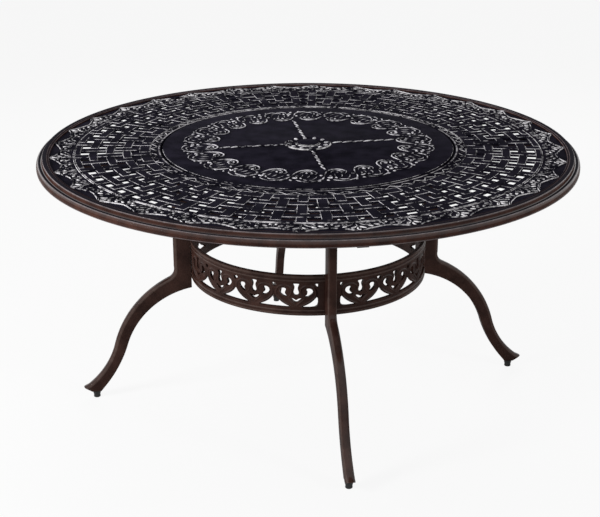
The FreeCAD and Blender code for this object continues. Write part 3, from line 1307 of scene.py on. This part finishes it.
@dataclass
class Apron(Assembly):
    """The ring of sixteen pierced hearts between the legs, with ridged rails.

    Fields:
        crest: the radius of the ridges' crests.
        opening_bottom: the height from which the openings and scrolls are measured.
        post: the length of plain band at each end of a quarter.
        hearts: the number of hearts in a quarter.
        rail_ridges: the lower and upper edge of each ridge, in millimetres above the bottom.
        ridge_edge: how far in and how far along a ridge's rounded edge goes.
        cutter_depth: the length of the openings' cutters along a radius.
        scroll_radius: the half width of a heart's scrolls.
        stem_radius: the half width of its stems.
        abrasion_highlight_depth: how far below the crests the painted highlight begins.
    """

    outer: float = 337 * MM
    crest: float = 338.8 * MM
    inner: float = 329 * MM
    bottom: float = 358 * MM
    top: float = 473 * MM
    opening_bottom: float = 381 * MM
    post: float = 30 * MM
    hearts: int = 4
    steps: int = 48
    rail_ridges: tuple[Point, ...] = ((0.8, 8), (11, 17.5), (96, 102.5), (106, 114.2))
    ridge_edge: Point = (0.5 * MM, 1.2 * MM)
    cutter_depth: float = 30 * MM
    scroll_radius: float = 4.2 * MM
    stem_radius: float = 3.6 * MM
    abrasion_highlight_depth: float = 0.7 * MM

    def make_band(self) -> Piece:
        """One quarter of the plain band, with two ridges on each rail, from the angle 0 on.

        Returns:
            The band.
        """
        profile = [(self.inner, self.bottom), (self.outer, self.bottom)]
        inward, along = self.ridge_edge
        for low, high in self.rail_ridges:
            start, end = self.bottom + low * MM, self.bottom + high * MM
            middle = (start + end) / 2
            profile += [(self.outer, start), (self.crest - inward, start + along), (self.crest, middle)]
            profile += [(self.crest - inward, end - along), (self.outer, end)]
        profile += [(self.outer, self.top), (self.inner, self.top)]
        return spin(outline(profile, filled=True), QUARTER_TURN, self.steps)

    def opening(self, points: Sequence[Point], turn: float) -> Piece:
        """One rounded cutter through the band.

        Args:
            points: the opening's control points as millimetres across and above the bottom rail.
            turn: its angle about the table's axis.

        Returns:
            The cutter.
        """
        base = self.opening_bottom / MM
        flat = [(across * MM, (base + up) * MM) for across, up in points]
        return prism(flat, self.cutter_depth, polar(self.outer, turn, 0), turn)

    def heart_cutters(self, turn: float) -> list[Piece]:
        """The openings inside one heart.

        Args:
            turn: the heart's angle.

        Returns:
            The cutters.
        """
        vase = [(-9.5, 68.5), (-7.5, 64), (-4.2, 58), (-4.8, 51), (-8, 44), (-5.5, 36), (0, 34)]
        vase += [(-across, up) for across, up in reversed(vase[:-1])]
        eye = [(21, 31), (30, 30), (40, 37), (46, 45), (42, 54), (31, 56), (25.5, 51), (31, 43), (28, 36)]
        chevron = [(-15, 28), (-13, 24), (0, 12), (13, 24), (15, 28), (6, 25.5), (0, 20.5), (-6, 25.5)]
        cutters = [self.opening(vase, turn), self.opening(chevron, turn)]
        cutters += [self.opening([(side * across, up) for across, up in eye], turn) for side in (-1, 1)]
        return cutters

    def joint_cutters(self, turn: float, left: int, right: int) -> list[Piece]:
        """The openings between two hearts, or between a heart and a post.

        Args:
            turn: the joint's angle.
            left: 1 where a heart stands on the left and 0 where a post does.
            right: the same for the right.

        Returns:
            The cutters.
        """
        side_of = {-1: left, 1: right}
        foot = [(0, 36)] if left and right else []
        crown = [(0, 55)]
        for side in (1, -1):
            points = [(4, 31), (17, 20), (33, 9), (43, 2.5), (43, 0.5), (38, 0)]
            if not side_of[side]:
                points = [(0, 27), (0, 0)]
            flank = [(side * across, up) for across, up in points]
            foot += flank if side == 1 else flank[::-1]
        crown += [(8 * right, 66), (7 * right, 68.5), (-7 * left, 68.5), (-8 * left, 66)]
        return [self.opening(foot, turn), self.opening(crown, turn)]

    def heart_ridges(self, turn: float) -> list[Piece]:
        """The raised scrolls and stems of one heart.

        Args:
            turn: the heart's angle.

        Returns:
            The scrolls and stems.
        """
        scroll = [(8, 2), (24, 9), (40, 19), (52, 31), (54.5, 43), (50, 56), (38, 62.5), (24, 62), (14, 56)]
        scroll += [(11, 46), (14, 36), (22, 27.5)]
        stem = [(0, 3), (6, 11), (14, 17), (22, 25)]
        ridges = []
        for side in (-1, 1):
            for points, radius in ((scroll, self.scroll_radius), (stem, self.stem_radius)):
                path = []
                for across, up in points:
                    angle = turn + side * across * MM / self.outer
                    path.append(polar(self.crest - radius, angle, self.opening_bottom + up * MM))
                ridges.append(ridge(path, radius, 1.0, 0.7))
        return ridges

    def build(self) -> None:
        """Make one quarter and copy it round."""
        band = self.make_band()
        post_sweep = self.post / self.outer
        sweep = (QUARTER_TURN - 2 * post_sweep) / self.hearts
        cutters, ridges = [], []
        for number in range(self.hearts):
            turn = post_sweep + (number + 0.5) * sweep
            cutters += self.heart_cutters(turn)
            ridges += self.heart_ridges(turn)
        for number in range(self.hearts + 1):
            turn = post_sweep + number * sweep
            cutters += self.joint_cutters(turn, int(number > 0), int(number < self.hearts))
        cutter = join(cutters, "cutter")
        modify(band, "BOOLEAN", operation="DIFFERENCE", solver="EXACT", object=cutter)
        bpy.data.objects.remove(cutter)
        quarter = join([band] + ridges, "quarter")
        # The crests of the ridges and rails are marked for a painted highlight, partly standing for
        # abrasion.
        limit = self.crest - self.abrasion_highlight_depth
        rub(quarter, lambda face: face.calc_center_median().xy.length > limit)
        for number in range(4):
            piece = copy_turned(quarter, QUARTER_TURN * number, f"heart_apron_{number + 1}")
            self.hand_over(piece, Body.TABLE, Slot.FRAME, [f"apron_segment_{number + 1}"])
        bpy.data.objects.remove(quarter)


@dataclass
class Legs(Assembly):
    """The four curved legs, with a rounded outer face, and their levelling feet.

    Fields:
        pattern: the model's leg on +X, of which a rounded copy is made.
        roundings: whether an edge is an outer one, with the width and steps of its rounding.
        post_top: the height above which the post keeps its sharp edges.
        flank: how nearly sideways the normal of a flank is.
        other: how nearly sideways the normal of an outer or inner face can be.
        outward: how far out and up the normal of an outer face leans.
        abrasion_highlit: how nearly sideways the normals are of the faces of a rounding that take a painted
            highlight.
        flat_angle: the angle in degrees below which two faces are taken as one.
        foot: the distance of a glide from the table's axis.
        glide: a glide's section, in millimetres from its own axis and from the floor.
    """

    pattern: Piece
    roundings: tuple[tuple[bool, float, int], ...] = ((True, 9 * MM, 4), (False, 3 * MM, 1))
    post_top: float = 690 * MM
    flank: float = 0.9
    other: float = 0.5
    outward: float = 0.1
    abrasion_highlit: Point = (0.62, 0.995)
    flat_angle: float = 0.5
    foot: float = 624 * MM
    glide: tuple[Point, ...] = (
        (0, 0), (8.6, 0), (9.6, 1.0), (9.8, 3.0), (9.2, 5.0), (9.6, 9), (11.2, 15), (12.2, 19), (12.2, 20),
        (5, 20), (5, 42), (0, 42),
    )
    glide_steps: int = 32

    def make_leg(self) -> Piece:
        """A rounded copy of the model's leg on +X.

        Returns:
            The leg.
        """
        take(self.pattern)
        bpy.ops.object.duplicate(linked=False)
        leg = bpy.context.object
        leg.parent = None
        take(leg)
        bpy.ops.mesh.customdata_custom_splitnormals_clear()

        def skirts(edge: bmesh.types.BMEdge, outward: bool) -> bool:
            """Whether the edge lies between a flank and the leg's outer or inner face.

            Args:
                edge: an edge of the leg.
                outward: whether the outer face is meant.

            Returns:
                Whether it does.
            """
            flanks = [face for face in edge.link_faces if abs(face.normal.y) > self.flank]
            others = [face for face in edge.link_faces if abs(face.normal.y) < self.other]
            lowest = min(vertex.co.z for vertex in edge.verts)
            if len(flanks) != 1 or len(others) != 1 or lowest > self.post_top:
                return False
            normal = others[0].normal
            return (normal.x + normal.z > self.outward) == outward

        with editing(leg):
            bpy.ops.mesh.remove_doubles(threshold=MERGE)
            bpy.ops.mesh.dissolve_limited(angle_limit=math.radians(self.flat_angle))
            for outward, width, steps in self.roundings:
                pick(leg, Kind.EDGE, lambda edge: skirts(edge, outward))
                bpy.ops.mesh.bevel(offset=width, segments=steps, clamp_overlap=True)

        def on_rounding(face: bmesh.types.BMFace) -> bool:
            """Whether the face lies on a rounding, next to a flank."""
            low, high = self.abrasion_highlit
            return low < abs(face.normal.y) < high and face.calc_center_median().z < self.post_top

        # The roundings beside the flanks are marked for a painted highlight line, partly standing for
        # abrasion.
        rub(leg, on_rounding)
        return leg

    def make_foot(self) -> Piece:
        """One glide on +X: a tapered pad with a rounded sole, and its screw.

        Returns:
            The glide.
        """
        foot = spin(outline(placed(self.glide)), FULL_TURN, self.glide_steps)
        foot.location.x = self.foot
        return settle(foot)

    def build(self) -> None:
        """Make one leg and one glide and copy them round."""
        leg = self.make_leg()
        foot = self.make_foot()
        for number in range(4):
            turn = QUARTER_TURN * number
            piece = copy_turned(leg, turn, f"curved_leg_{number + 1}")
            self.hand_over(piece, Body.TABLE, Slot.FRAME, [f"leg_{number + 1}"], smooth=30)
            piece = copy_turned(foot, turn, f"glide_{number + 1}")
            self.hand_over(piece, Body(f"foot_{number + 1}"), Slot.GLIDE, [f"levelling_foot_{number + 1}"])
        for spare in (leg, foot):
            bpy.data.objects.remove(spare)


@dataclass(frozen=True)
class Lamp:
    """One square soft lamp.

    Fields:
        name: the lamp's name.
        place: where it stands.
        size: the length of its side in metres.
        power: its power in watts.
        aim: the height on the table's axis that it points at.
    """

    name: str
    place: Place
    size: float
    power: float
    aim: float

    def hang(self, scene: bpy.types.Scene) -> None:
        """Put the lamp in the scene, unseen in reflections.

        Args:
            scene: the scene that it lights.
        """
        light = bpy.data.lights.new(self.name, "AREA")
        light.energy = self.power
        light.size = self.size
        holder = bpy.data.objects.new(self.name, light)
        holder.location = self.place
        towards = Vector((0, 0, self.aim)) - Vector(self.place)
        holder.rotation_euler = towards.to_track_quat("-Z", "Y").to_euler()
        holder.visible_glossy = False
        scene.collection.objects.link(holder)


@dataclass
class Studio:
    """The floor, the lights and the camera.

    Fields:
        floor_drop: how far the floor lies below the glides.
        floor_shades: the floor's colours, in its darker and lighter clouds.
        floor_cloud: the width of those clouds in metres.
        floor_glow: how far the floor that the camera sees is made white.
        room_light: the strength of the room as a light.
        eye: the camera's place.
        eye_down: how far it looks down, in radians.
        eye_heading: its heading, in radians to the left of +Y.
        lens: its focal length, in millimetres on a sensor of the width that follows.
    """

    floor_size: float = 60
    floor_drop: float = 0.4 * MM
    floor_shades: tuple[Colour, Colour] = ((0.62, 0.62, 0.62), (0.66, 0.66, 0.66))
    floor_cloud: float = 0.4
    floor_roughness: float = 0.7
    floor_glow: float = 0.9
    room_light: float = 0.25
    lamps: tuple[Lamp, ...] = (
        Lamp("key", (-3.3, -1.1, 1.8), 1.0, 130, 0.5),
        Lamp("back", (0.6, 3.0, 2.4), 1.6, 56, 0.7),
        Lamp("fill", (2.6, -2.4, 1.8), 0.7, 40, 0.4),
    )
    eye: Place = (-0.6077, -3.4885, 1.7565)
    eye_down: float = 0.3679
    eye_heading: float = math.radians(-9.88) + 0.0062
    lens: float = 78.665
    sensor: float = 36

    def lay_floor(self) -> None:
        """A pale floor that the camera sees almost white and that keeps the table's shadow."""
        bpy.ops.mesh.primitive_plane_add(size=self.floor_size, location=(0, 0, -self.floor_drop))
        floor = bpy.context.object
        floor.name = "floor"
        paint = Paint("pale_floor")
        colour = paint.blend(paint.noise(self.floor_cloud, 2), *self.floor_shades)
        paint.set(Base_Color=colour, Roughness=self.floor_roughness)
        glow = paint.add("ShaderNodeEmission", inputs={"Color": (1, 1, 1, 1), "Strength": 1.0})
        rays = paint.add("ShaderNodeLightPath")
        seen = Value(paint.tree, rays.outputs["Is Camera Ray"])
        mix = paint.add("ShaderNodeMixShader", inputs={0: seen * self.floor_glow})
        paint.tree.links.new(paint.shader.outputs[0], mix.inputs[1])
        paint.tree.links.new(glow.outputs[0], mix.inputs[2])
        output = next(node for node in paint.tree.nodes if node.type == "OUTPUT_MATERIAL")
        paint.tree.links.new(mix.outputs[0], output.inputs["Surface"])
        floor.data.materials.append(paint.material)

    def light_room(self, scene: bpy.types.Scene) -> None:
        """A world that is white where it is seen or reflected, and dim as a light.

        Args:
            scene: the scene that it stands round.
        """
        world = bpy.data.worlds.new("soft_room")
        scene.world = world
        world.use_nodes = True
        tree = world.node_tree
        rays = tree.nodes.new("ShaderNodeLightPath")
        kinds = ("Camera", "Glossy", "Transmission")
        shown = sum(Value(tree, rays.outputs[f"Is {kind} Ray"]) for kind in kinds)
        strength = self.room_light + shown.between(0.0, 1.0) * (1 - self.room_light)
        background = tree.nodes["Background"]
        background.inputs["Color"].default_value = (1.0, 1.0, 1.0, 1.0)
        tree.links.new(strength.socket, background.inputs["Strength"])

    def set_camera(self, scene: bpy.types.Scene) -> None:
        """The camera at the photographer's place.

        Args:
            scene: the scene that it belongs to.
        """
        camera = bpy.data.objects.new("camera", bpy.data.cameras.new("camera"))
        camera.data.sensor_width = self.sensor
        camera.data.lens = self.lens
        camera.location = self.eye
        camera.rotation_euler = (QUARTER_TURN - self.eye_down, 0, self.eye_heading)
        scene.collection.objects.link(camera)
        scene.camera = camera

    def build(self) -> None:
        """Set the stage."""
        scene = bpy.context.scene
        scene.view_settings.view_transform = "Standard"
        deselect()
        self.lay_floor()
        self.light_room(scene)
        for lamp in self.lamps:
            lamp.hang(scene)
        self.set_camera(scene)


def main() -> None:
    """Build the sub-assemblies in order and report each piece."""
    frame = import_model()
    logging.basicConfig(level=logging.INFO, format="%(name)s: %(message)s")
    finishes = Finishes()
    slots = {part["node"]: Slot(part["material_slot"]) for part in frame["record"]["subparts"]}
    for name, node in frame["nodes"].items():
        finishes.dress(node, Look[slots[name].name])
    assemblies = (
        Rim(finishes), WovenTop(finishes), Turntable(finishes), Apron(finishes),
        Legs(finishes, frame["nodes"]["leg_1"]),
    )
    for assembly in assemblies:
        assembly.build()
    Studio().build()


if __name__ == "__main__":
    main()
